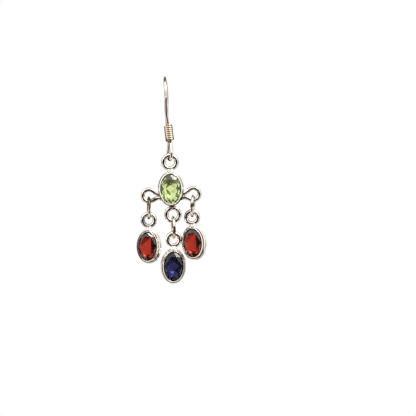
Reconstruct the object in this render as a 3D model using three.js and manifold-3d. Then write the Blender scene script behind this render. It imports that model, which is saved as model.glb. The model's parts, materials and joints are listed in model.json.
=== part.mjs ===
// Drop earring: an ear wire with a coil and a hanging loop, an oval setting with four soldered
// eyelets, and three smaller oval drops that hang from it on jump rings.
// Millimetres. +Z is up, -Y faces the viewer and +X is the viewer's right.
// The origin is the inner top of the ear wire's arch, where the earring hangs in an ear lobe.
import * as THREE from "three";
import { mergeVertices } from "three/addons/utils/BufferGeometryUtils.js";
import Module from "manifold-3d";

const wasm = await Module();
wasm.setup();

// Facets round wires, settings and stones
const WIRE_SIDES = 8;
const COIL_SIDES = 6;
const OVAL_SEGMENTS = 24;
const STONE_SEGMENTS = 16;
const RING_SEGMENTS = 24;
const SOLDER_SIDES = 10;

// Ear wire
const HOOK_WIRE = 0.7;
const ARCH_RADIUS = 4.6;
const ARCH_LEAN = 0.07;
const LOOP_RADIUS = 1.15;
const LOOP_TWIST = 20;
const LOOP_SHOULDER = { reach: 1.0, rise: 1.15 };
const LOOP_END = { reach: 0.62, below: 0.2 };
const LOOP_NECK = { reach: -0.4, below: 0.5 };
const ARC_STEP = 30;
const COIL_TOP = new THREE.Vector3(0.73, -4.15, -10.2);
const COIL_BOTTOM = new THREE.Vector3(1.2, -3.9, -14.05);
const PIN = new THREE.Vector3(1.15, -3.9, -18.02);
const FRONT_LEG = [new THREE.Vector3(0.4, -4.4, -8.2), new THREE.Vector3(0.32, -4.58, -6.2)];
const BACK_LEG = [
  new THREE.Vector3(0.25, 4.5, -7.2),
  new THREE.Vector3(0.4, 4.4, -10.2),
  new THREE.Vector3(0.6, 4.9, -12.6),
  new THREE.Vector3(0.7, 5.7, -14.2),
];
const HOOK_STEPS = 84;

// Coil on the shank
const COIL_TURNS = 8;
const COIL_WIRE = 0.44;
const COIL_OUTER = 2.0;
const COIL_STEPS_PER_TURN = 12;

// Play between a ring and the wire that it hangs on
const PLAY = 0.1;

// Cut stones: width and length of the girdle, and heights in front of and behind it
const GIRDLE_HALF = 0.06;
const TABLE_SHARE = 0.58;
const LARGE_STONE = { width: 5.0, length: 7.0, crown: 0.8, pavilion: 1.95 };
const MEDIUM_STONE = { width: 4.65, length: 6.85, crown: 0.74, pavilion: 1.85 };
const SMALL_STONE = { width: 4.4, length: 6.6, crown: 0.72, pavilion: 1.8 };

// Bezel cups: how far the lip covers the stone, the wall's offset from the girdle and the base rim's
const LARGE_CUP = { stone: LARGE_STONE, lip: 0.22, wall: 0.24, foot: 0.25, rim: 0.33 };
const MEDIUM_CUP = { stone: MEDIUM_STONE, lip: 0.17, wall: 0.2, foot: 0.3, rim: 0.46 };
const SMALL_CUP = { stone: SMALL_STONE, lip: 0.2, wall: 0.22, foot: 0.34, rim: 0.57 };
// Depths are measured from the girdle, positive towards the back
const CUP_FRONT = 0.46;
const LIP_SHOULDER = { offset: 0.1, depth: -0.34 };
const LIP_UNDERSIDE = -0.3;
const WALL_TOP = 0.1;
const CUP_DEPTH = 2.2;
const RIM_HEIGHT = 0.55;
const RIM_BEVEL = 0.12;
const SEAT_CLEARANCE = 0.05;
const SEAT = { top: -0.13, bottom: 0.16 };
const LEDGE = { reach: 0.35, depth: 0.42, taper: 0.1 };

// Eyelets: outer diameter and wire. Their plane lies this far behind the girdle of the stone.
const EYELET_PLANE = 1.65;
const TOP_EYELET = { outer: 3.9, wire: 1.0 };
const SIDE_EYELET = { outer: 3.56, wire: 0.9 };
const MIDDLE_EYELET = { outer: 3.85, wire: 0.95 };
const DROP_EYELET = { outer: 3.6, wire: 0.95 };

// The solder under a round eyelet: half widths at the ring and at the wall, and depth by width
const SOLDER = { tip: 0.5, base: 1.0, flatness: 0.55 };

// A side eyelet is open towards the wall by this half angle, and its two ends run on as feet
const SIDE_OPENING = 60;
const SIDE_FEET = { length: 1.1, apart: 0.46, spread: 0.15, depth: 0.6 };
const EYELET_STEPS = 24;
const EYELET_ARC_STEPS = 10;

// Where the eyelets sit on the large setting, from the middle of its stone
const TOP_EYELET_RISE = 5.9;
const SIDE_EYELET_OUT = 4.92;
const SIDE_EYELET_DROP = 1.33;
const SIDE_FOOT_DROP = 1.6;
const MIDDLE_EYELET_DROP = 5.66;
const MIDDLE_EYELET_SHIFT = 0.25;

// Jump rings
const RING_OUTER = 5.05;
const RING_WIRE = 0.65;

// Hand-set angles in degrees: tilt turns about Y and turn about Z
const SETTING_TILT = -2;
const STRANDS = [
  {
    side: "left", gem: "garnet", kind: SMALL_CUP, drop: 5.78,
    play: 0.05, ringTurn: 5, ringTilt: 0, turn: -5.5, tilt: 0,
  },
  {
    side: "middle", gem: "iolite", kind: MEDIUM_CUP, drop: 5.9,
    play: 0.05, ringTurn: 6, ringTilt: -2, turn: 2.6, tilt: 1,
  },
  {
    side: "right", gem: "garnet", kind: SMALL_CUP, drop: 5.6,
    play: 0.17, ringTurn: -5, ringTilt: 3.5, turn: -8, tilt: -4,
  },
];

const SILVER = { color: "#e9e6e0", roughness: 0.18, metalness: 1 };
const COIL_SILVER = { color: "#d9cfc0", roughness: 0.25, metalness: 1 };
const STONE_COLOURS = { peridot: "#a9c95a", garnet: "#a5322a", iolite: "#33305c" };

const radians = THREE.MathUtils.degToRad;

function mesh(name, geometry, finish) {
  const node = new THREE.Mesh(geometry, new THREE.MeshStandardMaterial(finish));
  node.name = name;
  return node;
}

function toSolid(geometry) {
  const bare = geometry.index ? geometry.toNonIndexed() : geometry.clone();
  bare.deleteAttribute("normal");
  bare.deleteAttribute("uv");
  const merged = mergeVertices(bare, 1e-4);
  const vertProperties = new Float32Array(merged.attributes.position.array);
  const triVerts = new Uint32Array(merged.index.array);
  return new wasm.Manifold(new wasm.Mesh({ numProp: 3, vertProperties, triVerts }));
}

function toGeometry(solid) {
  const result = solid.getMesh();
  const geometry = new THREE.BufferGeometry();
  geometry.setAttribute("position", new THREE.BufferAttribute(result.vertProperties, result.numProp));
  geometry.setIndex(new THREE.BufferAttribute(result.triVerts, 1));
  return geometry;
}

// A round wire along a path
function wireAlong(path, diameter, sides, steps) {
  const section = new THREE.Shape();
  for (let side = 0; side < sides; side += 1) {
    const angle = (2 * Math.PI * side) / sides;
    const x = (diameter / 2) * Math.cos(angle);
    const y = (diameter / 2) * Math.sin(angle);
    if (side === 0) {
      section.moveTo(x, y);
    } else {
      section.lineTo(x, y);
    }
  }
  return new THREE.ExtrudeGeometry(section, { steps, extrudePath: path });
}

// The hanging loop starts under the coil, runs down its front and round the bottom,
// and comes up behind into the shank. Reach is measured from the shank, positive to the front.
function loopPoints() {
  const twist = radians(LOOP_TWIST);
  const middle = PIN.z + LOOP_RADIUS;
  const place = (reach, z) =>
    new THREE.Vector3(PIN.x + reach * Math.sin(twist), PIN.y - reach * Math.cos(twist), z);
  const points = [
    place(LOOP_END.reach, COIL_BOTTOM.z - LOOP_END.below),
    place(LOOP_SHOULDER.reach, middle + LOOP_SHOULDER.rise),
  ];
  for (let angle = 0; angle >= -180; angle -= ARC_STEP) {
    const reach = LOOP_RADIUS * Math.cos(radians(angle));
    points.push(place(reach, middle + LOOP_RADIUS * Math.sin(radians(angle))));
  }
  points.push(place(-LOOP_SHOULDER.reach, middle + LOOP_SHOULDER.rise));
  points.push(place(LOOP_NECK.reach, COIL_BOTTOM.z - LOOP_NECK.below));
  return points;
}

// The arch over the ear lobe, from the front leg to the back leg
function archPoints() {
  const centre = HOOK_WIRE / 2 - ARCH_RADIUS;
  const points = [];
  for (let angle = 180; angle >= 0; angle -= ARC_STEP) {
    const y = ARCH_RADIUS * Math.cos(radians(angle));
    const rise = ARCH_RADIUS * Math.sin(radians(angle));
    points.push(new THREE.Vector3((ARCH_RADIUS - rise) * ARCH_LEAN, y, centre + rise));
  }
  return points;
}

function earHook() {
  const path = new THREE.CatmullRomCurve3([
    ...loopPoints(),
    COIL_BOTTOM,
    COIL_BOTTOM.clone().lerp(COIL_TOP, 0.5),
    COIL_TOP,
    ...FRONT_LEG,
    ...archPoints(),
    ...BACK_LEG,
  ]);
  return mesh("ear_hook", wireAlong(path, HOOK_WIRE, WIRE_SIDES, HOOK_STEPS), SILVER);
}

// The coil is a helix round the straight line that the shank follows inside it
function hookCoil() {
  const axis = COIL_BOTTOM.clone().sub(COIL_TOP);
  const height = axis.length() - COIL_WIRE;
  const radius = (COIL_OUTER - COIL_WIRE) / 2;
  const steps = COIL_TURNS * COIL_STEPS_PER_TURN;
  const points = [];
  for (let step = 0; step <= steps; step += 1) {
    const angle = (2 * Math.PI * step) / COIL_STEPS_PER_TURN;
    const along = COIL_WIRE / 2 + (height * step) / steps;
    points.push(new THREE.Vector3(radius * Math.sin(angle), along, -radius * Math.cos(angle)));
  }
  const geometry = wireAlong(new THREE.CatmullRomCurve3(points), COIL_WIRE, COIL_SIDES, steps);
  const node = mesh("hook_coil", geometry, COIL_SILVER);
  node.position.copy(COIL_TOP);
  node.quaternion.setFromUnitVectors(new THREE.Vector3(0, 1, 0), axis.normalize());
  return node;
}

// A turned profile stretched to the oval of a stone. A profile point is an offset from the girdle
// and a depth behind it, and null as offset means the axis.
function ovalSolid(profile, stone) {
  const halfWidth = stone.width / 2;
  const extra = (stone.length - stone.width) / 2;
  const points = profile.map(([offset, depth]) =>
    new THREE.Vector2(offset === null ? 0 : halfWidth + offset, depth));
  const geometry = new THREE.LatheGeometry(points, OVAL_SEGMENTS);
  const position = geometry.attributes.position;
  for (let i = 0; i < position.count; i += 1) {
    const radius = Math.hypot(position.getX(i), position.getZ(i));
    if (radius > 1e-6) {
      position.setZ(i, position.getZ(i) * (1 + extra / radius));
    }
  }
  return toSolid(geometry);
}

function cupBlank({ stone, lip, wall, foot, rim }) {
  const rimTop = CUP_DEPTH - RIM_HEIGHT;
  return ovalSolid([
    [null, -CUP_FRONT],
    [LIP_SHOULDER.offset - lip, -CUP_FRONT],
    [LIP_SHOULDER.offset, LIP_SHOULDER.depth],
    [wall, WALL_TOP],
    [foot, rimTop],
    [rim, rimTop + RIM_BEVEL],
    [rim, CUP_DEPTH - RIM_BEVEL],
    [rim - RIM_BEVEL, CUP_DEPTH],
    [null, CUP_DEPTH],
  ], stone);
}

// The stone's pocket runs right through: under the lip, past the girdle, over the ledge that
// the stone rests on and out at the open back
function cupPocket({ stone, lip }) {
  const beyond = CUP_DEPTH + 1;
  return ovalSolid([
    [null, -beyond],
    [-lip, -beyond],
    [-lip, LIP_UNDERSIDE],
    [SEAT_CLEARANCE, SEAT.top],
    [SEAT_CLEARANCE, SEAT.bottom],
    [-LEDGE.reach, LEDGE.depth],
    [LEDGE.taper - LEDGE.reach, beyond],
    [null, beyond],
  ], stone);
}

// An eyelet's centre and foot are points in the setting's own plane, and the foot lies in the wall.
// A round eyelet is a closed ring on a flat cone of solder.
function roundEyelet({ outer, wire }, centre, foot) {
  const radius = (outer - wire) / 2;
  const ring = new THREE.TorusGeometry(radius, wire / 2, WIRE_SIDES, RING_SEGMENTS);
  ring.rotateX(Math.PI / 2);
  ring.translate(centre.x, EYELET_PLANE, centre.y);

  const back = centre.clone().sub(foot);
  const height = back.length() - radius;
  const middle = foot.clone().add(back.clone().setLength(height / 2));
  const cone = new THREE.CylinderGeometry(SOLDER.tip, SOLDER.base, height, SOLDER_SIDES);
  cone.scale(1, 1, SOLDER.flatness);
  cone.rotateX(Math.PI / 2);
  cone.rotateY(Math.atan2(back.x, back.y));
  cone.translate(middle.x, EYELET_PLANE, middle.y);
  return toSolid(ring).add(toSolid(cone));
}

// A side eyelet is a ring left open towards the cup, whose two ends run on to the cup's wall
function sideEyelet({ outer, wire }, centre, foot) {
  const radius = (outer - wire) / 2;
  const towards = foot.clone().sub(centre);
  const reach = towards.length();
  const heading = Math.atan2(towards.y, towards.x);
  const place = (along, across) => {
    const x = centre.x + along * Math.cos(heading) - across * Math.sin(heading);
    const z = centre.y + along * Math.sin(heading) + across * Math.cos(heading);
    return new THREE.Vector3(x, EYELET_PLANE, z);
  };
  const { length, apart, spread } = SIDE_FEET;
  const points = [place(reach, apart + spread), place(reach - length, apart)];
  for (let step = 0; step <= EYELET_ARC_STEPS; step += 1) {
    const angle = radians(SIDE_OPENING + ((360 - 2 * SIDE_OPENING) * step) / EYELET_ARC_STEPS);
    points.push(place(radius * Math.cos(angle), radius * Math.sin(angle)));
  }
  points.push(place(reach - length, -apart), place(reach, -apart - spread));
  return toSolid(wireAlong(new THREE.CatmullRomCurve3(points), wire, WIRE_SIDES, EYELET_STEPS));
}

// A cup with its eyelets soldered on, as one solid, and the pocket cut through both
function setting(name, cup, eyelets) {
  let solid = cupBlank(cup);
  for (const eyelet of eyelets) {
    solid = solid.add(eyelet);
  }
  return mesh(name, toGeometry(solid.subtract(cupPocket(cup))), SILVER);
}

// A cut stone: table, crown facets, girdle and pavilion facets down to the culet
function cutStone(name, gem, { width, length, crown, pavilion }) {
  const half = width / 2;
  const profile = [
    new THREE.Vector2(0, -GIRDLE_HALF - crown),
    new THREE.Vector2(half * TABLE_SHARE, -GIRDLE_HALF - crown),
    new THREE.Vector2(half, -GIRDLE_HALF),
    new THREE.Vector2(half, GIRDLE_HALF),
    new THREE.Vector2(0, GIRDLE_HALF + pavilion),
  ];
  const geometry = new THREE.LatheGeometry(profile, STONE_SEGMENTS);
  geometry.scale(1, 1, length / width);
  return mesh(name, geometry, { color: STONE_COLOURS[gem], roughness: 0.05, metalness: 0 });
}

function jumpRing(name) {
  const radius = (RING_OUTER - RING_WIRE) / 2;
  const geometry = new THREE.TorusGeometry(radius, RING_WIRE / 2, WIRE_SIDES, RING_SEGMENTS);
  geometry.rotateY(Math.PI / 2);
  return mesh(name, geometry, SILVER);
}

const holeRadius = ({ outer, wire }) => outer / 2 - wire;

// The large setting hangs on the loop's bottom wire. Its group's origin is that wire's centre.
function peridotGroup() {
  const cupDrop = holeRadius(TOP_EYELET) - HOOK_WIRE / 2 - PLAY + TOP_EYELET_RISE;
  const halfWidth = LARGE_STONE.width / 2;
  const halfLength = LARGE_STONE.length / 2;
  const topCentre = new THREE.Vector2(0, TOP_EYELET_RISE);
  const middleCentre = new THREE.Vector2(MIDDLE_EYELET_SHIFT, -MIDDLE_EYELET_DROP);
  const eyelets = [
    roundEyelet(TOP_EYELET, topCentre, new THREE.Vector2(0, halfLength)),
    roundEyelet(MIDDLE_EYELET, middleCentre, new THREE.Vector2(0, -halfLength)),
  ];
  for (const side of [-1, 1]) {
    const centre = new THREE.Vector2(side * SIDE_EYELET_OUT, -SIDE_EYELET_DROP);
    const foot = new THREE.Vector2(side * (halfWidth - SIDE_FEET.depth), -SIDE_FOOT_DROP);
    eyelets.push(sideEyelet(SIDE_EYELET, centre, foot));
  }
  const cup = new THREE.Group();
  cup.add(setting("peridot_setting", LARGE_CUP, eyelets));
  cup.add(cutStone("peridot_stone", "peridot", LARGE_STONE));
  cup.position.set(0, -EYELET_PLANE, -cupDrop);
  const group = new THREE.Group();
  group.add(cup);
  group.rotation.y = radians(SETTING_TILT);
  return { group, cupDrop };
}

// A jump ring on an eyelet of the large setting, and the small drop that hangs on the ring
function strandGroup(strand, hangsOn) {
  const innerRadius = RING_OUTER / 2 - RING_WIRE;
  const ringDrop = holeRadius(hangsOn) + innerRadius - strand.play;
  const dropDrop = innerRadius + holeRadius(DROP_EYELET) - strand.play;

  const ring = jumpRing(`jump_ring_${strand.side}`);
  ring.rotation.z = radians(strand.ringTurn);

  const cup = new THREE.Group();
  const foot = new THREE.Vector2(0, strand.kind.stone.length / 2);
  const eyelets = [roundEyelet(DROP_EYELET, new THREE.Vector2(0, strand.drop), foot)];
  cup.add(setting(`${strand.gem}_setting_${strand.side}`, strand.kind, eyelets));
  cup.add(cutStone(`${strand.gem}_stone_${strand.side}`, strand.gem, strand.kind.stone));
  cup.position.set(0, -EYELET_PLANE, -strand.drop);

  const drop = new THREE.Group();
  drop.add(cup);
  drop.position.z = -dropDrop;
  drop.rotation.set(0, radians(strand.tilt - strand.ringTilt), radians(strand.turn));

  const ringGroup = new THREE.Group();
  ringGroup.add(ring, drop);
  ringGroup.position.z = -ringDrop;

  const group = new THREE.Group();
  group.add(ringGroup);
  group.rotation.y = radians(strand.ringTilt);
  return group;
}

function hangingDrop() {
  const drop = new THREE.Group();
  const { group, cupDrop } = peridotGroup();
  drop.add(group);
  const tilt = new THREE.Matrix4().makeRotationY(radians(SETTING_TILT));
  const hooks = {
    left: { kind: SIDE_EYELET, x: -SIDE_EYELET_OUT, z: -cupDrop - SIDE_EYELET_DROP },
    middle: { kind: MIDDLE_EYELET, x: MIDDLE_EYELET_SHIFT, z: -cupDrop - MIDDLE_EYELET_DROP },
    right: { kind: SIDE_EYELET, x: SIDE_EYELET_OUT, z: -cupDrop - SIDE_EYELET_DROP },
  };
  for (const strand of STRANDS) {
    const { kind, x, z } = hooks[strand.side];
    const hanging = strandGroup(strand, kind);
    hanging.position.set(x, 0, z).applyMatrix4(tilt);
    drop.add(hanging);
  }
  drop.position.copy(PIN);
  return drop;
}

const earring = new THREE.Group();
earring.add(earHook(), hookCoil(), hangingDrop());

export default earring;
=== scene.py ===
"""Looks of a silver drop earring with four cut stones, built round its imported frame.

Lengths are in millimetres until a mesh is made, which is in metres in the frame's own axes:
+Z up, -Y towards the viewer, +X the viewer's right, origin at the inner top of the ear wire.
"""
import json
import math

import bmesh
import bpy
from mathutils import Euler, Matrix, Vector


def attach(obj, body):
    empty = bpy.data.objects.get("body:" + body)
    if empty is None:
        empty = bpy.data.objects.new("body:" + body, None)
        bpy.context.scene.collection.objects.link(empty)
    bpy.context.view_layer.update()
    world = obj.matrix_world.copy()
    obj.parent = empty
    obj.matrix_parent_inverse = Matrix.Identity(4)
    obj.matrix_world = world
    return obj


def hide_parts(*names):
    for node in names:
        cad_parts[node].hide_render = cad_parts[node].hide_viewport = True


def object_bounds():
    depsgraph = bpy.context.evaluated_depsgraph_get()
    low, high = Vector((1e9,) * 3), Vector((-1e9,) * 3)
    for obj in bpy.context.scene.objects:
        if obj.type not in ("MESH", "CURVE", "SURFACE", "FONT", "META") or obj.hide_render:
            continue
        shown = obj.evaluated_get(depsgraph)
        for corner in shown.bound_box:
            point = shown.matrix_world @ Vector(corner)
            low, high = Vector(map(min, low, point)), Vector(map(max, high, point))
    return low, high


MM = 0.001

# The photograph's frame and where the earring stands in it
PHOTO_PIXELS = 416
MM_PER_PIXEL = 0.22
ARCH_TOP_PIXEL = (164.7, 74.5)
CAMERA_DISTANCE = 400
SENSOR_WIDTH = 36

# Ear wire. The arch's lean is a share of its fall.
HOOK_WIRE = 0.7
ARCH_RADIUS = 4.6
ARCH_LEAN = 0.07
ARC_STEP = 30

# The loop is twisted about the vertical. Its shoulders are how far out and how far above its
# middle, and its end and its neck are how far out and how far below the coil.
LOOP_RADIUS = 1.15
LOOP_TWIST = 20
LOOP_SHOULDER = (1.0, 1.15)
LOOP_END = (0.62, 0.2)
LOOP_NECK = (-0.4, 0.5)

# The coil on the shank, and the legs before and behind the arch
COIL_TOP = Vector((0.73, -4.15, -10.2))
COIL_BOTTOM = Vector((1.2, -3.9, -14.05))
FRONT_LEG = [Vector((0.4, -4.4, -8.2)), Vector((0.32, -4.58, -6.2))]
BACK_LEG = [
    Vector((0.25, 4.5, -7.2)),
    Vector((0.4, 4.4, -10.2)),
    Vector((0.6, 4.9, -12.6)),
    Vector((0.7, 5.7, -14.2)),
]
COIL_TURNS = 8
COIL_WIRE = 0.455
COIL_OUTER = 2.0

# Play between the loop's wire and the top eyelet
PLAY = 0.1

# Cut stones: width, length, crown and pavilion heights, and the table as a share of the outline.
# Behind, steep facets run from the girdle to the belly, middling ones on to the waist and flat
# ones to the keel. The belly, waist and keel are shares of the outline too, and their depths are
# shares of the pavilion. A keel may sit off centre, by a share of the half width.
LARGE_STONE = {"width": 5.0, "length": 7.0, "crown": 0.8, "pavilion": 1.95, "table": 0.6,
               "belly": 0.76, "belly_depth": 0.58, "waist": 0.44, "waist_depth": 0.76,
               "keel": 0.2, "keel_shift": -0.1}
MEDIUM_STONE = {"width": 4.65, "length": 6.85, "crown": 0.74, "pavilion": 1.85, "table": 0.64,
                "belly": 0.8, "belly_depth": 0.5, "waist": 0.52, "waist_depth": 0.76,
                "keel": 0.3, "keel_shift": 0.1}
SMALL_STONE = {"width": 4.4, "length": 6.6, "crown": 0.66, "pavilion": 1.8, "table": 0.7,
               "belly": 0.84, "belly_depth": 0.45, "waist": 0.7, "waist_depth": 0.62,
               "keel": 0.62, "keel_shift": 0.28}
GIRDLE_HALF = 0.06
# How far the star facets reach past the table, as a share of the outline
STAR_REACH = 0.18

# Bezel cups: the lip's cover over the stone, then offsets of wall, foot and rim from the girdle.
# The lip's land is the width of its flat front, and its shoulder an offset and a depth.
LARGE_CUP = {"stone": LARGE_STONE, "lip": 0.22, "wall": 0.24, "foot": 0.25, "rim": 0.33}
MEDIUM_CUP = {"stone": MEDIUM_STONE, "lip": 0.15, "wall": 0.25, "foot": 0.32, "rim": 0.46}
SMALL_CUP = {"stone": SMALL_STONE, "lip": 0.14, "wall": 0.27, "foot": 0.38, "rim": 0.57}
CUP_FRONT = 0.46
LIP_LAND = 0.04
LIP_SHOULDER = (0.06, -0.28)
LIP_UNDERSIDE = -0.3
WALL_TOP = 0.1
CUP_DEPTH = 2.2
RIM_HEIGHT = 0.55
RIM_BEVEL = 0.12
SEAT_CLEARANCE = 0.05
SEAT_TOP = -0.13
SEAT_BOTTOM = 0.16
LEDGE_REACH = 0.35
LEDGE_DEPTH = 0.42
LEDGE_TAPER = 0.1

# Eyelets: outer diameter and wire, and how far their plane lies behind the girdle. A round one
# is closed, with a fine seam at its foot.
EYELET_PLANE = 1.65
TOP_EYELET = {"outer": 3.9, "wire": 1.0}
SIDE_EYELET = {"outer": 3.56, "wire": 0.9}
MIDDLE_EYELET = {"outer": 3.85, "wire": 0.95}
DROP_EYELET = {"outer": 3.6, "wire": 0.95}
SEAM = 0.07

# The solder under a round eyelet: half widths at the ring and at the wall, and depth by width
SOLDER_TIP = 0.42
SOLDER_BASE = 1.0
SOLDER_FLATNESS = 0.55
SOLDER_ROWS = 8

# A side eyelet is open towards the wall by this half angle, and its two ends run on as feet
SIDE_OPENING = 60
SIDE_ARC_STEPS = 10
SIDE_FOOT_LENGTH = 1.1
SIDE_FEET_APART = 0.46
SIDE_FEET_SPREAD = 0.15
SIDE_FOOT_DEPTH = 0.6
TOP_EYELET_RISE = 5.9
SIDE_EYELET_OUT = 4.92
SIDE_EYELET_DROP = 1.33
SIDE_FOOT_DROP = 1.6
MIDDLE_EYELET_DROP = 5.66
MIDDLE_EYELET_SHIFT = 0.25

# Jump rings. The split lies behind, this many degrees above the middle.
RING_OUTER = 5.05
RING_WIRE = 0.65
RING_SPLIT = 0.05
RING_SPLIT_ANGLE = 20

# Given angles in degrees. A strand's drop is how far its eyelet's middle lies above its cup's,
# and its play is the play of its ring in both eyelets.
SETTING_TILT = -2
STRANDS = [
    {"side": "left", "gem": "garnet", "kind": SMALL_CUP, "drop": 5.78,
     "play": 0.05, "ring_turn": 5, "ring_tilt": 0, "turn": -5.5, "tilt": 0},
    {"side": "middle", "gem": "iolite", "kind": MEDIUM_CUP, "drop": 5.9,
     "play": 0.05, "ring_turn": 6, "ring_tilt": -2, "turn": 2.6, "tilt": 1},
    {"side": "right", "gem": "garnet", "kind": SMALL_CUP, "drop": 5.6,
     "play": 0.17, "ring_turn": -5, "ring_tilt": 3.5, "turn": -8, "tilt": -4},
]

# Smoothness of the shown pieces
WIRE_SIDES = 20
WIRE_CURVE_STEPS = 12
COIL_SIDES = 14
COIL_TURN_STEPS = 40
EYELET_STEPS = 72
SIDE_CURVE_STEPS = 10
RING_STEPS = 96
OVAL_SEGMENTS = 96
CORNER_STEPS = 5
SMOOTH_ANGLE = 40

# A wire's round end closes on a flat with this share of its section
END_FLAT = 0.03
# A rounded corner takes at most this share of the side next to it
CORNER_LIMIT = 0.45


# Paths and sweeps

def spline(points, samples_per_span=WIRE_CURVE_STEPS):
    """Centripetal Catmull-Rom curve through the points, as a list of points."""
    ends = [2 * points[0] - points[1]] + list(points) + [2 * points[-1] - points[-2]]
    curve = []
    for before, start, end, after in zip(ends, ends[1:], ends[2:], ends[3:]):
        gap_before = max((start - before).length, 1e-6) ** 0.5
        gap = max((end - start).length, 1e-6) ** 0.5
        gap_after = max((after - end).length, 1e-6) ** 0.5
        leave = (start - before) / gap_before - (end - before) / (gap_before + gap) + (end - start) / gap
        arrive = (end - start) / gap - (after - start) / (gap + gap_after) + (after - end) / gap_after
        leave *= gap
        arrive *= gap
        square = 3 * (end - start) - 2 * leave - arrive
        cube = 2 * (start - end) + leave + arrive
        for sample in range(samples_per_span):
            t = sample / samples_per_span
            curve.append(start + leave * t + square * t * t + cube * t * t * t)
    curve.append(points[-1].copy())
    return curve


def sweep(path, diameter, sides=WIRE_SIDES, round_ends=False):
    """A closed round wire along a path, as vertices and faces."""
    radius = diameter / 2
    tangents = []
    for i in range(len(path)):
        ahead = path[min(i + 1, len(path) - 1)] - path[max(i - 1, 0)]
        tangents.append(ahead.normalized())
    across = tangents[0].orthogonal().normalized()
    vertices = []
    lengths = [0.0]
    for a, b in zip(path, path[1:]):
        lengths.append(lengths[-1] + (b - a).length)
    total = lengths[-1]
    for i, point in enumerate(path):
        across = (across - tangents[i] * across.dot(tangents[i])).normalized()
        up = tangents[i].cross(across)
        here = radius
        if round_ends:
            to_end = min(lengths[i], total - lengths[i])
            if to_end < radius:
                here = radius * math.sqrt(max(1 - (1 - to_end / radius) ** 2, END_FLAT))
        for side in range(sides):
            angle = 2 * math.pi * side / sides
            vertices.append(point + across * here * math.cos(angle) + up * here * math.sin(angle))
    return vertices, tube_faces(len(path), sides)


def tube_faces(rows, sides):
    """Faces of a closed tube whose vertices come in rows."""
    faces = [tuple(range(sides - 1, -1, -1))]
    for row in range(rows - 1):
        for side in range(sides):
            a = row * sides + side
            b = row * sides + (side + 1) % sides
            faces.append((a, b, b + sides, a + sides))
    last = (rows - 1) * sides
    faces.append(tuple(range(last, last + sides)))
    return faces


def closed_mesh(name, shape, scale):
    """A mesh from vertices and faces, with its faces pointing out."""
    vertices, faces = shape
    mesh = bpy.data.meshes.new(name)
    mesh.from_pydata([v * scale for v in vertices], [], faces)
    work = bmesh.new()
    work.from_mesh(mesh)
    bmesh.ops.recalc_face_normals(work, faces=work.faces)
    work.to_mesh(mesh)
    work.free()
    return mesh


def show(name, data):
    """Puts a mesh, a light or a camera into the scene."""
    made = bpy.data.objects.new(name, data)
    bpy.context.scene.collection.objects.link(made)
    return made


def piece(name, shape, body, node, rounded_off=True, finish=None):
    """Makes the shown piece of a CAD node from vertices and faces in millimetres. Facets of a
    stone stay flat. A finish other than the slot's own is named."""
    mesh = closed_mesh(name, shape, MM)
    mesh.materials.append(FINISHES[finish or SLOTS[node]])
    if rounded_off:
        mesh.shade_smooth()
        mesh.set_sharp_from_angle(angle=math.radians(SMOOTH_ANGLE))
    made = show(name, mesh)
    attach(made, body)
    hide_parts(node)


# Ear wire

def loop_points():
    """The loop, from its end under the coil round the bottom and up to the shank."""
    twist = math.radians(LOOP_TWIST)
    middle = PIN.z + LOOP_RADIUS

    def place(reach, z):
        return Vector((PIN.x + reach * math.sin(twist), PIN.y - reach * math.cos(twist), z))

    points = [
        place(LOOP_END[0], COIL_BOTTOM.z - LOOP_END[1]),
        place(LOOP_SHOULDER[0], middle + LOOP_SHOULDER[1]),
    ]
    for angle in range(0, -181, -ARC_STEP):
        reach = LOOP_RADIUS * math.cos(math.radians(angle))
        points.append(place(reach, middle + LOOP_RADIUS * math.sin(math.radians(angle))))
    points.append(place(-LOOP_SHOULDER[0], middle + LOOP_SHOULDER[1]))
    points.append(place(LOOP_NECK[0], COIL_BOTTOM.z - LOOP_NECK[1]))
    return points


def arch_points():
    """The half circle over the ear, from front to back, which leans a little to the side."""
    centre = HOOK_WIRE / 2 - ARCH_RADIUS
    points = []
    for angle in range(180, -1, -ARC_STEP):
        y = ARCH_RADIUS * math.cos(math.radians(angle))
        rise = ARCH_RADIUS * math.sin(math.radians(angle))
        points.append(Vector(((ARCH_RADIUS - rise) * ARCH_LEAN, y, centre + rise)))
    return points


def ear_hook():
    """The whole ear wire: loop, shank inside the coil, front leg, arch and back leg."""
    shank = [COIL_BOTTOM, COIL_BOTTOM.lerp(COIL_TOP, 0.5), COIL_TOP]
    path = spline(loop_points() + shank + FRONT_LEG + arch_points() + BACK_LEG)
    return sweep(path, HOOK_WIRE, round_ends=True)


def hook_coil():
    """The finer wire, wound in close turns down the shank."""
    axis = COIL_BOTTOM - COIL_TOP
    height = axis.length - COIL_WIRE
    radius = (COIL_OUTER - COIL_WIRE) / 2
    turn = Vector((0, 1, 0)).rotation_difference(axis)
    steps = COIL_TURNS * COIL_TURN_STEPS
    path = []
    for step in range(steps + 1):
        angle = 2 * math.pi * step / COIL_TURN_STEPS
        along = COIL_WIRE / 2 + height * step / steps
        local = Vector((radius * math.sin(angle), along, -radius * math.cos(angle)))
        path.append(COIL_TOP + turn @ local)
    return sweep(path, COIL_WIRE, COIL_SIDES)


# Settings and stones

def rounded(profile):
    """Rounds the corners of a closed profile whose rows are offset, depth and corner radius."""
    outline = []
    count = len(profile)
    for i, (offset, depth, corner) in enumerate(profile):
        here = Vector((offset, depth))
        before = Vector(profile[i - 1][:2])
        after = Vector(profile[(i + 1) % count][:2])
        if corner == 0:
            outline.append(here)
            continue
        reach_in = min(corner, (before - here).length * CORNER_LIMIT)
        reach_out = min(corner, (after - here).length * CORNER_LIMIT)
        start = here + (before - here).normalized() * reach_in
        end = here + (after - here).normalized() * reach_out
        for step in range(CORNER_STEPS + 1):
            t = step / CORNER_STEPS
            outline.append(start.lerp(here, t).lerp(here.lerp(end, t), t))
    return outline


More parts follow.
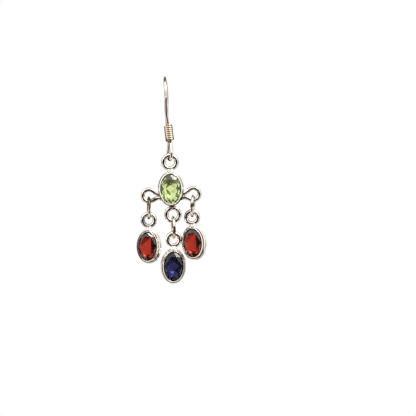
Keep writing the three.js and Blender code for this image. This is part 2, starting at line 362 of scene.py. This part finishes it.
def oval_ring(profile, stone):
    """A closed profile turned round the stone's oval."""
    half_width = stone["width"] / 2
    half_length = stone["length"] / 2
    vertices = []
    for segment in range(OVAL_SEGMENTS):
        angle = 2 * math.pi * segment / OVAL_SEGMENTS
        for point in profile:
            x = (half_width + point.x) * math.cos(angle)
            z = (half_length + point.x) * math.sin(angle)
            vertices.append(Vector((x, point.y, z)))
    count = len(profile)
    faces = []
    for segment in range(OVAL_SEGMENTS):
        first = segment * count
        following = ((segment + 1) % OVAL_SEGMENTS) * count
        for i in range(count):
            j = (i + 1) % count
            faces.append((first + i, first + j, following + j, following + i))
    return vertices, faces


def cup(kind):
    """A bezel cup: lip, side wall, foot with its rim, open back, ledge and seat. Each row is an
    offset from the girdle, a depth and a corner radius."""
    lip, wall, foot, rim = kind["lip"], kind["wall"], kind["foot"], kind["rim"]
    rim_top = CUP_DEPTH - RIM_HEIGHT
    return oval_ring(rounded([
        (-lip, -CUP_FRONT, 0.05),
        (LIP_LAND - lip, -CUP_FRONT, 0.04),
        (*LIP_SHOULDER, 0.06),
        (wall, WALL_TOP, 0.2),
        (foot, rim_top, 0.05),
        (rim, rim_top + RIM_BEVEL, 0.1),
        (rim, CUP_DEPTH - RIM_BEVEL, 0.1),
        (rim - RIM_BEVEL, CUP_DEPTH, 0.06),
        (LEDGE_TAPER - LEDGE_REACH, CUP_DEPTH, 0.05),
        (-LEDGE_REACH, LEDGE_DEPTH, 0.04),
        (SEAT_CLEARANCE, SEAT_BOTTOM, 0),
        (SEAT_CLEARANCE, SEAT_TOP, 0),
        (-lip, LIP_UNDERSIDE, 0.02),
    ]), kind["stone"])


def round_eyelet(kind, centre, foot):
    """A wire ring closed at its foot, where the two ends meet in a fine seam."""
    radius = (kind["outer"] - kind["wire"]) / 2
    towards = foot - centre
    heading = math.atan2(towards.y, towards.x)
    gap = SEAM / radius
    path = []
    for step in range(EYELET_STEPS + 1):
        angle = heading + gap / 2 + (2 * math.pi - gap) * step / EYELET_STEPS
        path.append(Vector((centre.x + radius * math.cos(angle), EYELET_PLANE,
                            centre.y + radius * math.sin(angle))))
    return sweep(path, kind["wire"])


def solder(kind, centre, foot):
    """The hollow-sided blob of solder between a round eyelet and the wall."""
    radius = (kind["outer"] - kind["wire"]) / 2
    towards = foot - centre
    along = towards.normalized()
    across = Vector((-along.y, along.x))
    vertices = []
    for row in range(SOLDER_ROWS + 1):
        share = row / SOLDER_ROWS
        middle = centre + along * (radius + (towards.length - radius) * share)
        half = SOLDER_TIP + (SOLDER_BASE - SOLDER_TIP) * share ** 2
        for side in range(WIRE_SIDES):
            angle = 2 * math.pi * side / WIRE_SIDES
            point = middle + across * half * math.cos(angle)
            depth = EYELET_PLANE + half * SOLDER_FLATNESS * math.sin(angle)
            vertices.append(Vector((point.x, depth, point.y)))
    return vertices, tube_faces(SOLDER_ROWS + 1, WIRE_SIDES)


def side_eyelet(kind, centre, foot):
    """A wire ring left open towards the cup, whose two ends run on into the wall."""
    radius = (kind["outer"] - kind["wire"]) / 2
    towards = foot - centre
    heading = math.atan2(towards.y, towards.x)
    reach = towards.length

    def place(along, across):
        x = centre.x + along * math.cos(heading) - across * math.sin(heading)
        z = centre.y + along * math.sin(heading) + across * math.cos(heading)
        return Vector((x, EYELET_PLANE, z))

    ends = SIDE_FEET_APART + SIDE_FEET_SPREAD
    points = [place(reach, ends), place(reach - SIDE_FOOT_LENGTH, SIDE_FEET_APART)]
    for step in range(SIDE_ARC_STEPS + 1):
        angle = math.radians(SIDE_OPENING + (360 - 2 * SIDE_OPENING) * step / SIDE_ARC_STEPS)
        points.append(place(radius * math.cos(angle), radius * math.sin(angle)))
    points += [place(reach - SIDE_FOOT_LENGTH, -SIDE_FEET_APART), place(reach, -ends)]
    return sweep(spline(points, SIDE_CURVE_STEPS), kind["wire"])


def stand(shape, matrix):
    """The shape moved to its place."""
    vertices, faces = shape
    return [matrix @ v for v in vertices], faces


def soldered(shapes):
    """Joins closed shapes into one body and returns its vertices and faces."""
    base, *others = [show("raw", closed_mesh("raw", shape, 1)) for shape in shapes]
    for other in others:
        join = base.modifiers.new("solder", "BOOLEAN")
        join.operation = "UNION"
        join.solver = "EXACT"
        join.object = other
    graph = bpy.context.evaluated_depsgraph_get()
    result = base.evaluated_get(graph).to_mesh()
    vertices = [v.co.copy() for v in result.vertices]
    faces = [tuple(p.vertices) for p in result.polygons]
    for gone in [base] + others:
        mesh = gone.data
        bpy.data.objects.remove(gone)
        bpy.data.meshes.remove(mesh)
    return vertices, faces


def cut_stone(stone):
    """An oval cut: table, star, kite and girdle facets in front, three rounds of facets behind."""
    half = stone["width"] / 2
    ratio = stone["length"] / stone["width"]
    front = -GIRDLE_HALF
    back = GIRDLE_HALF
    sixteenth = math.tau / 16

    def at(share, angle, depth):
        return Vector((half * share * math.cos(angle), depth, half * share * ratio * math.sin(angle)))

    table, stars = stone["table"], stone["table"] + STAR_REACH
    star_fall = (stars * math.cos(sixteenth) - table) / (1 - table)
    belly_depth = back + stone["pavilion"] * stone["belly_depth"]
    waist_depth = back + stone["pavilion"] * stone["waist_depth"]
    vertices = []
    for i in range(8):
        vertices.append(at(table, sixteenth * (2 * i + 1), front - stone["crown"]))
    for i in range(8):
        vertices.append(at(stars, sixteenth * 2 * i, front - stone["crown"] * (1 - star_fall)))
    for depth in (front, back):
        for i in range(16):
            vertices.append(at(1, sixteenth * i, depth))
    for i in range(8):
        vertices.append(at(stone["belly"], sixteenth * (2 * i + 1), belly_depth))
    for i in range(8):
        vertices.append(at(stone["waist"], sixteenth * 2 * i, waist_depth))
    keel_half = stone["keel"] * half * ratio
    for end in (keel_half, -keel_half):
        vertices.append(Vector((half * stone["keel_shift"], back + stone["pavilion"], end)))
    # Where each round of corners starts in the list, after the table's eight
    star, upper, lower, belly, waist, keel_top, keel_bottom = 8, 16, 32, 48, 56, 64, 65
    faces = [tuple(range(8))]
    for i in range(8):
        j = (i + 1) % 8
        before = (i - 1) % 8
        corner = 2 * i
        faces.append((before, i, star + i))
        faces.append((i, star + i, upper + corner + 1, star + j))
        faces.append((star + i, upper + corner, upper + corner + 1))
        faces.append((star + i, upper + (corner - 1) % 16, upper + corner))
        faces.append((belly + i, lower + corner, lower + corner + 1))
        faces.append((belly + i, lower + corner + 1, lower + (corner + 2) % 16))
        faces.append((belly + i, belly + before, lower + corner))
        faces.append((belly + i, waist + i, waist + j))
        faces.append((belly + i, belly + j, waist + j))
        # Waist corners 0 to 4 lie from the right over the top to the left
        faces.append((waist + i, waist + j, keel_top if i < 4 else keel_bottom))
    for i in range(16):
        j = (i + 1) % 16
        faces.append((upper + i, upper + j, lower + j, lower + i))
    for side in (0, 4):
        faces.append((waist + side, keel_top, keel_bottom))
    return vertices, faces


def jump_ring():
    """A round ring, cut through behind and closed again, so a fine split shows."""
    radius = (RING_OUTER - RING_WIRE) / 2
    split = RING_SPLIT / radius
    start = math.radians(RING_SPLIT_ANGLE) + split / 2
    path = []
    for step in range(RING_STEPS + 1):
        angle = start + (2 * math.pi - split) * step / RING_STEPS
        path.append(Vector((0, radius * math.cos(angle), radius * math.sin(angle))))
    return sweep(path, RING_WIRE)


def hole_radius(kind):
    """Inner radius of an eyelet."""
    return kind["outer"] / 2 - kind["wire"]


def about_y(degrees):
    """A tilt to the side, about the front-to-back axis."""
    return Euler((0, math.radians(degrees), 0)).to_matrix().to_4x4()


def about_z(degrees):
    """A turn about the vertical."""
    return Euler((0, 0, math.radians(degrees))).to_matrix().to_4x4()


def build_large_setting():
    """The peridot's cup with its four eyelets, and its stone, hung on the loop. Returns how far
    the cup's middle lies below the pin."""
    cup_drop = hole_radius(TOP_EYELET) - HOOK_WIRE / 2 - PLAY + TOP_EYELET_RISE
    half_width = LARGE_STONE["width"] / 2
    half_length = LARGE_STONE["length"] / 2
    parts = [cup(LARGE_CUP)]
    for kind, centre, foot in (
        (TOP_EYELET, Vector((0, TOP_EYELET_RISE)), Vector((0, half_length))),
        (MIDDLE_EYELET, Vector((MIDDLE_EYELET_SHIFT, -MIDDLE_EYELET_DROP)),
         Vector((0, -half_length))),
    ):
        parts += [round_eyelet(kind, centre, foot), solder(kind, centre, foot)]
    for side in (-1, 1):
        centre = Vector((side * SIDE_EYELET_OUT, -SIDE_EYELET_DROP))
        foot = Vector((side * (half_width - SIDE_FOOT_DEPTH), -SIDE_FOOT_DROP))
        parts.append(side_eyelet(SIDE_EYELET, centre, foot))
    down = Matrix.Translation((0, -EYELET_PLANE, -cup_drop))
    place = Matrix.Translation(PIN) @ about_y(SETTING_TILT) @ down
    piece("peridot_bezel", stand(soldered(parts), place), "drop", "peridot_setting")
    piece("peridot_cut", stand(cut_stone(LARGE_STONE), place), "drop", "peridot_stone",
          rounded_off=False)
    return cup_drop


def build_strand(strand, hook, eyelet_kind):
    """A jump ring on an eyelet of the large setting, and the small drop on the ring."""
    side, gem, kind = strand["side"], strand["gem"], strand["kind"]
    inner = RING_OUTER / 2 - RING_WIRE
    ring_drop = hole_radius(eyelet_kind) + inner - strand["play"]
    drop_drop = inner + hole_radius(DROP_EYELET) - strand["play"]
    hang = Matrix.Translation(PIN + hook) @ about_y(strand["ring_tilt"])
    hang = hang @ Matrix.Translation((0, 0, -ring_drop))
    ring = stand(jump_ring(), hang @ about_z(strand["ring_turn"]))
    piece(f"ring_{side}", ring, "drop", f"jump_ring_{side}", finish="ring")
    turn = about_y(strand["tilt"] - strand["ring_tilt"]) @ about_z(strand["turn"])
    place = hang @ Matrix.Translation((0, 0, -drop_drop)) @ turn
    place = place @ Matrix.Translation((0, -EYELET_PLANE, -strand["drop"]))
    centre = Vector((0, strand["drop"]))
    foot = Vector((0, kind["stone"]["length"] / 2))
    parts = [cup(kind), round_eyelet(DROP_EYELET, centre, foot), solder(DROP_EYELET, centre, foot)]
    piece(f"{gem}_bezel_{side}", stand(soldered(parts), place), "drop", f"{gem}_setting_{side}")
    piece(f"{gem}_cut_{side}", stand(cut_stone(kind["stone"]), place), "drop",
          f"{gem}_stone_{side}", rounded_off=False)


# Materials

# Widths of the patterns and depths of their bumps: ripples from the buffing wheel, scratches,
# patches of film that are partly tarnish and partly painted shade, zones of growth in a stone,
# and the floor's mottling. Buffing scratches are really about 0.01 mm wide, and are drawn wider
# so that they show.
BUFFING_RIPPLE = 1.1
RIPPLE_DEPTH = 0.05
SCRATCH_WIDTH = 0.09
SCRATCH_DEPTH = 0.01
FILM_AND_SHADE_PATCH = 3.2
GROWTH_ZONE = 1.6
FLOOR_MOTTLE = 40

# Tarnish, and between the coil's turns painted shade, stays in corners that are open by less than the
# first share and is gone past the second
CORNER_REACH = 0.5
CORNER_SHARES = (0.3, 0.66)
# The film of tarnish and painted shade fades in by this much of its noise on either side of where it
# starts
FILM_AND_SHADE_EDGE = 0.06
# The noise of the scratches varies a finish's roughness between these multiples of it
SCRATCH_GLOSS = (0.7, 1.4)


def linear(colour):
    """An sRGB hex colour as linear red, green, blue and alpha."""
    channels = []
    for i in (1, 3, 5):
        value = int(colour[i:i + 2], 16) / 255
        channels.append(value / 12.92 if value <= 0.04045 else ((value + 0.055) / 1.055) ** 2.4)
    return (*channels, 1)


def add(tree, kind, settings=None, sockets=None, links=None):
    """Adds one node, sets its properties and sockets, and links its inputs."""
    node = tree.nodes.new(kind)
    for name, value in (settings or {}).items():
        setattr(node, name, value)
    for name, value in (sockets or {}).items():
        node.inputs[name].default_value = value
    for name, source in (links or {}).items():
        tree.links.new(source, node.inputs[name])
    return node


def new_material(name):
    """A material with an empty node tree, and that tree."""
    material = bpy.data.materials.new(name)
    material.use_nodes = True
    material.node_tree.nodes.clear()
    return material, material.node_tree


def polished_silver(name, clean, tarnish_and_shade, film_and_shade_start, roughness):
    """Sterling silver wire and sheet, drawn, soldered and buffed by hand: bright mirror gloss with
    soft ripples from the buffing wheel, hair scratches, and brown in the corners, from tarnishing
    and, between the coil's close turns, from painted shade. The same brown also lies as a film where
    fingers don't rub it off, partly tarnishing and partly painted shade, where the noise is above
    film_and_shade_start."""
    material, tree = new_material(name)
    place = add(tree, "ShaderNodeTexCoord")
    ripple = add(tree, "ShaderNodeTexNoise", sockets={"Scale": 1 / (BUFFING_RIPPLE * MM), "Detail": 2},
                 links={"Vector": place.outputs["Object"]})
    scratch = add(tree, "ShaderNodeTexNoise", sockets={"Scale": 1 / (SCRATCH_WIDTH * MM), "Detail": 3},
                  links={"Vector": place.outputs["Object"]})
    # Dark corners: tarnishing on bezels and eyelets, painted shade between the coil's turns
    corner = add(tree, "ShaderNodeAmbientOcclusion", {"samples": 8}, {"Distance": CORNER_REACH * MM})
    fully_dark_corner, open_enough = CORNER_SHARES
    bright_corner_share = add(tree, "ShaderNodeMapRange",
                      sockets={"From Min": fully_dark_corner, "From Max": open_enough, "To Min": 0, "To Max": 1},
                      links={"Value": corner.outputs["AO"]})
    # Patches of film, partly tarnish and partly painted shade
    film_and_shade_patches = add(tree, "ShaderNodeTexNoise", sockets={"Scale": 1 / (FILM_AND_SHADE_PATCH * MM), "Detail": 3},
                  links={"Vector": place.outputs["Object"]})
    free_of_film_and_shade = add(tree, "ShaderNodeMapRange", {"interpolation_type": "SMOOTHSTEP"},
                 {"From Min": film_and_shade_start - FILM_AND_SHADE_EDGE, "From Max": film_and_shade_start + FILM_AND_SHADE_EDGE,
                  "To Min": 1, "To Max": 0},
                 {"Value": film_and_shade_patches.outputs["Fac"]})
    bright = add(tree, "ShaderNodeMath", {"operation": "MULTIPLY"},
                 links={0: bright_corner_share.outputs["Result"], 1: free_of_film_and_shade.outputs["Result"]})
    colour = add(tree, "ShaderNodeMix", {"data_type": "RGBA"}, links={"Factor": bright.outputs[0]})
    colour.inputs[6].default_value = linear(tarnish_and_shade)
    colour.inputs[7].default_value = linear(clean)
    smoother, rougher = SCRATCH_GLOSS
    gloss = add(tree, "ShaderNodeMapRange",
                sockets={"To Min": roughness * smoother, "To Max": roughness * rougher},
                links={"Value": scratch.outputs["Fac"]})
    rippled = add(tree, "ShaderNodeBump", sockets={"Strength": 0.25, "Distance": RIPPLE_DEPTH * MM},
                  links={"Height": ripple.outputs["Fac"]})
    scratched = add(tree, "ShaderNodeBump", sockets={"Strength": 0.12, "Distance": SCRATCH_DEPTH * MM},
                    links={"Height": scratch.outputs["Fac"], "Normal": rippled.outputs["Normal"]})
    metal = add(tree, "ShaderNodeBsdfPrincipled", sockets={"Metallic": 1},
                links={"Base Color": colour.outputs[2], "Roughness": gloss.outputs["Result"],
                       "Normal": scratched.outputs["Normal"]})
    add(tree, "ShaderNodeOutputMaterial", links={"Surface": metal.outputs["BSDF"]})
    return material


def cut_gem(name, light, deep, ior, absorbed, density, clear):
    """A natural stone, sawn, faceted and polished flat: clear with mirror facets and faint zones
    of deeper colour that follow how the crystal grew. Fine silk inside scatters the light that the
    clear share doesn't let through, so the dark facets keep some of the stone's own colour."""
    material, tree = new_material(name)
    place = add(tree, "ShaderNodeTexCoord")
    zones = add(tree, "ShaderNodeTexNoise", sockets={"Scale": 1 / (GROWTH_ZONE * MM), "Detail": 2},
                links={"Vector": place.outputs["Object"]})
    colour = add(tree, "ShaderNodeMix", {"data_type": "RGBA"}, links={"Factor": zones.outputs["Fac"]})
    colour.inputs[6].default_value = linear(light)
    colour.inputs[7].default_value = linear(deep)
    gem = add(tree, "ShaderNodeBsdfPrincipled",
              sockets={"Roughness": 0, "IOR": ior, "Specular IOR Level": 0.25,
                       "Transmission Weight": clear},
              links={"Base Color": colour.outputs[2]})
    body = add(tree, "ShaderNodeVolumeAbsorption",
               sockets={"Color": linear(absorbed), "Density": density})
    add(tree, "ShaderNodeOutputMaterial",
        links={"Surface": gem.outputs["BSDF"], "Volume": body.outputs["Volume"]})
    return material


def pale_floor():
    """The matt white acrylic of a light table, faintly mottled and softly lit from below."""
    material, tree = new_material("matt_white_acrylic")
    place = add(tree, "ShaderNodeTexCoord")
    mottle = add(tree, "ShaderNodeTexNoise", sockets={"Scale": 1 / (FLOOR_MOTTLE * MM)},
                 links={"Vector": place.outputs["Object"]})
    colour = add(tree, "ShaderNodeMix", {"data_type": "RGBA"}, links={"Factor": mottle.outputs["Fac"]})
    colour.inputs[6].default_value = linear("#f4f3f0")
    colour.inputs[7].default_value = linear("#fbfaf8")
    acrylic = add(tree, "ShaderNodeBsdfPrincipled",
                  sockets={"Roughness": 0.9, "Emission Color": linear("#ffffff"),
                           "Emission Strength": 0.26},
                  links={"Base Color": colour.outputs[2]})
    add(tree, "ShaderNodeOutputMaterial", links={"Surface": acrylic.outputs["BSDF"]})
    return material


# Studio

FLOOR_HALF = 700
FLOOR_DEPTH = 160
TENT_STRENGTH = 1.2
# Heights of the direction between which the tent turns from its darker foot to plain white
TENT_SHADING = (-0.9, 0.3)
# A card's soft edge, as shares of its reach
CARD_EDGE = (0.8, 1.05)

# What the metal mirrors: each card's middle as a direction, how far it reaches each way, its
# colour and how much of the tent behind it is covered
CARDS = [
    {"middle": (0.05, 1, 0.25), "reach": (0.8, 0.6, 0.5), "colour": "#e6ded2", "cover": 0.45},
    {"middle": (0.1, 0.8, -0.6), "reach": (0.85, 0.6, 0.59), "colour": "#3e2a18", "cover": 1},
    {"middle": (-0.75, 0.6, -0.05), "reach": (0.62, 0.55, 0.8), "colour": "#2c1c12", "cover": 1},
    {"middle": (0.85, 0.5, 0.1), "reach": (0.4, 0.5, 0.85), "colour": "#4a3a2c", "cover": 0.9},
    {"middle": (0, 0.5, 0.85), "reach": (0.95, 0.5, 0.4), "colour": "#3a2a26", "cover": 0.9},
    {"middle": (0, -1, -0.08), "reach": (1.1, 1.2, 0.34), "colour": "#24120f", "cover": 1},
    {"middle": (0, -0.75, -0.6), "reach": (0.95, 0.75, 0.43), "colour": "#24120f", "cover": 1},
]


def studio_world():
    """A white light tent with darker cards, which the metal mirrors. The camera sees plain white."""
    world = bpy.data.worlds.new("light_tent")
    bpy.context.scene.world = world
    world.use_nodes = True
    tree = world.node_tree
    tree.nodes.clear()
    place = add(tree, "ShaderNodeTexCoord")
    parts = add(tree, "ShaderNodeSeparateXYZ", links={"Vector": place.outputs["Generated"]})
    foot, top = TENT_SHADING
    height = add(tree, "ShaderNodeMapRange", {"interpolation_type": "SMOOTHSTEP"},
                 {"From Min": foot, "From Max": top}, {"Value": parts.outputs["Z"]})
    shade = add(tree, "ShaderNodeMix", {"data_type": "RGBA"}, links={"Factor": height.outputs["Result"]})
    shade.inputs[6].default_value = linear("#f6f1ea")
    shade.inputs[7].default_value = linear("#ffffff")
    colour = shade.outputs[2]
    inner_edge, outer_edge = CARD_EDGE
    for card in CARDS:
        away = add(tree, "ShaderNodeVectorMath", {"operation": "SUBTRACT"}, {1: card["middle"]},
                   {0: place.outputs["Generated"]})
        scaled = add(tree, "ShaderNodeVectorMath", {"operation": "DIVIDE"}, {1: card["reach"]},
                     {0: away.outputs[0]})
        size = add(tree, "ShaderNodeVectorMath", {"operation": "LENGTH"}, links={0: scaled.outputs[0]})
        mask = add(tree, "ShaderNodeMapRange", {"interpolation_type": "SMOOTHSTEP"},
                   {"From Min": inner_edge, "From Max": outer_edge, "To Min": card["cover"], "To Max": 0},
                   {"Value": size.outputs["Value"]})
        painted = add(tree, "ShaderNodeMix", {"data_type": "RGBA"},
                      links={"Factor": mask.outputs["Result"], 6: colour})
        painted.inputs[7].default_value = linear(card["colour"])
        colour = painted.outputs[2]
    tent = add(tree, "ShaderNodeBackground", sockets={"Strength": TENT_STRENGTH}, links={"Color": colour})
    plain = add(tree, "ShaderNodeBackground", sockets={"Color": linear("#ffffff")})
    ray = add(tree, "ShaderNodeLightPath")
    seen = add(tree, "ShaderNodeMixShader",
               links={0: ray.outputs["Is Camera Ray"], 1: tent.outputs[0], 2: plain.outputs[0]})
    add(tree, "ShaderNodeOutputWorld", links={"Surface": seen.outputs[0]})


def softbox(name, azimuth, elevation, distance, size, power):
    """A square soft light aimed at the middle of the earring."""
    light = bpy.data.lights.new(name, "AREA")
    light.shape = "SQUARE"
    light.size = size * MM
    light.energy = power
    made = show(name, light)
    around = math.radians(azimuth)
    up = math.radians(elevation)
    back = Vector((math.sin(around) * math.cos(up), -math.cos(around) * math.cos(up), math.sin(up)))
    made.location = (MIDDLE + back * distance) * MM
    made.rotation_mode = "QUATERNION"
    made.rotation_quaternion = (-back).to_track_quat("-Z", "Y")


def floor():
    """A plain pale floor, well below the hanging earring."""
    half = FLOOR_HALF * MM
    corners = []
    for x, y in ((-half, -half), (half, -half), (half, half), (-half, half)):
        corners.append((x, y, -FLOOR_DEPTH * MM))
    mesh = bpy.data.meshes.new("floor")
    mesh.from_pydata(corners, [], [(0, 1, 2, 3)])
    mesh.materials.append(pale_floor())
    made = show("floor", mesh)
    # The metal mirrors the light tent rather than the floor, and the stones show the tent behind
    made.visible_glossy = False
    made.visible_transmission = False


def camera():
    """Square on to the earring, with the earring where it stands in the photograph's frame."""
    data = bpy.data.cameras.new("camera")
    data.sensor_width = SENSOR_WIDTH
    half_frame = PHOTO_PIXELS * MM_PER_PIXEL / 2
    data.lens = SENSOR_WIDTH / 2 * CAMERA_DISTANCE / half_frame
    made = show("camera", data)
    right = (PHOTO_PIXELS / 2 - ARCH_TOP_PIXEL[0]) * MM_PER_PIXEL
    up = (ARCH_TOP_PIXEL[1] - PHOTO_PIXELS / 2) * MM_PER_PIXEL + HOOK_WIRE
    made.location = Vector((right, PIN.y - CAMERA_DISTANCE, up)) * MM
    made.rotation_euler = (math.radians(90), 0, 0)
    data.clip_start = 10 * MM
    data.clip_end = 5000 * MM
    bpy.context.scene.camera = made


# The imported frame, and what is read from it

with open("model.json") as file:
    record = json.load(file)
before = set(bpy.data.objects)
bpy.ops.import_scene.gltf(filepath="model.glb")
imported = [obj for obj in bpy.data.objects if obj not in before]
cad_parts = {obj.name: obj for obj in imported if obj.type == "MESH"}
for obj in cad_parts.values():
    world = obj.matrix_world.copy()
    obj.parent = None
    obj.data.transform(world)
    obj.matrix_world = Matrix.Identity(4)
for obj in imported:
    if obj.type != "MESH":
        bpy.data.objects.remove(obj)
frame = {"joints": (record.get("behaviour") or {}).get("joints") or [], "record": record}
CAD_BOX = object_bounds()
SLOTS = {row["node"]: row["material_slot"] for row in frame["record"]["subparts"]}
PIN = Vector(frame["joints"][0]["pos_m"]) / MM
MIDDLE = (CAD_BOX[0] + CAD_BOX[1]) / 2 / MM

# The studio

camera()
studio_world()
softbox("key_softbox", azimuth=50, elevation=50, distance=350, size=120, power=0.45)
softbox("fill_softbox", azimuth=-60, elevation=30, distance=400, size=120, power=0.05)
softbox("rim_softbox", azimuth=172, elevation=16, distance=400, size=60, power=0.06)
floor()

# The finishes

FINISHES = {
    # Bezels and eyelets: buffed bright, dark only in the corners
    "polished_silver": polished_silver(
        "buffed_sterling_silver", clean="#f7f0e7", tarnish_and_shade="#3e2a1c", film_and_shade_start=0.66, roughness=0.06),
    # Ear wire: bright from wear, with patches of a thin warm film that is partly tarnish and partly
    # painted shade
    "ear_wire": polished_silver(
        "silver_wire_with_film_and_shade", clean="#faf3ea", tarnish_and_shade="#b09880", film_and_shade_start=0.56, roughness=0.06),
    # Jump rings: a slightly darker silver with brown film in patches, partly tarnish and partly painted
    # shade
    "ring": polished_silver(
        "ring_silver_with_painted_shade", clean="#f4ebdf", tarnish_and_shade="#6c5644", film_and_shade_start=0.53, roughness=0.07),
    # Coil: warmer in colour, softer in gloss as it is drawn and left unbuffed, and dark between the turns
    # with painted shade
    "coil_silver": polished_silver(
        "drawn_silver_coil_wire", clean="#f3dfc6", tarnish_and_shade="#5e3b22", film_and_shade_start=0.6, roughness=0.15),
    # Light yellow-green that lets most light through
    "peridot": cut_gem(
        "peridot", light="#f8ffd0", deep="#def4a6", ior=1.67, absorbed="#ccf080", density=90, clear=0.94),
    # Brick red, near black where the light's way through is long
    "garnet": cut_gem(
        "garnet", light="#f2927a", deep="#b4503e", ior=1.76, absorbed="#e05236", density=760, clear=0.975),
    # Dark violet-blue, which glows only in its brightest facets
    "iolite": cut_gem(
        "iolite", light="#9090c6", deep="#6464a6", ior=1.54, absorbed="#605e9c", density=980, clear=0.975),
}

# The earring

piece("ear_wire", ear_hook(), "ear_wire", "ear_hook", finish="ear_wire")
piece("coil", hook_coil(), "ear_wire", "hook_coil")
CUP_DROP = build_large_setting()
TILT = about_y(SETTING_TILT)
SIDE_Z = -CUP_DROP - SIDE_EYELET_DROP
HOOKS = {
    "left": (SIDE_EYELET, Vector((-SIDE_EYELET_OUT, 0, SIDE_Z))),
    "middle": (MIDDLE_EYELET, Vector((MIDDLE_EYELET_SHIFT, 0, -CUP_DROP - MIDDLE_EYELET_DROP))),
    "right": (SIDE_EYELET, Vector((SIDE_EYELET_OUT, 0, SIDE_Z))),
}
for strand_row in STRANDS:
    eyelet_kind, eyelet_centre = HOOKS[strand_row["side"]]
    build_strand(strand_row, TILT @ eyelet_centre, eyelet_kind)

bpy.context.scene.view_settings.view_transform = "Standard"
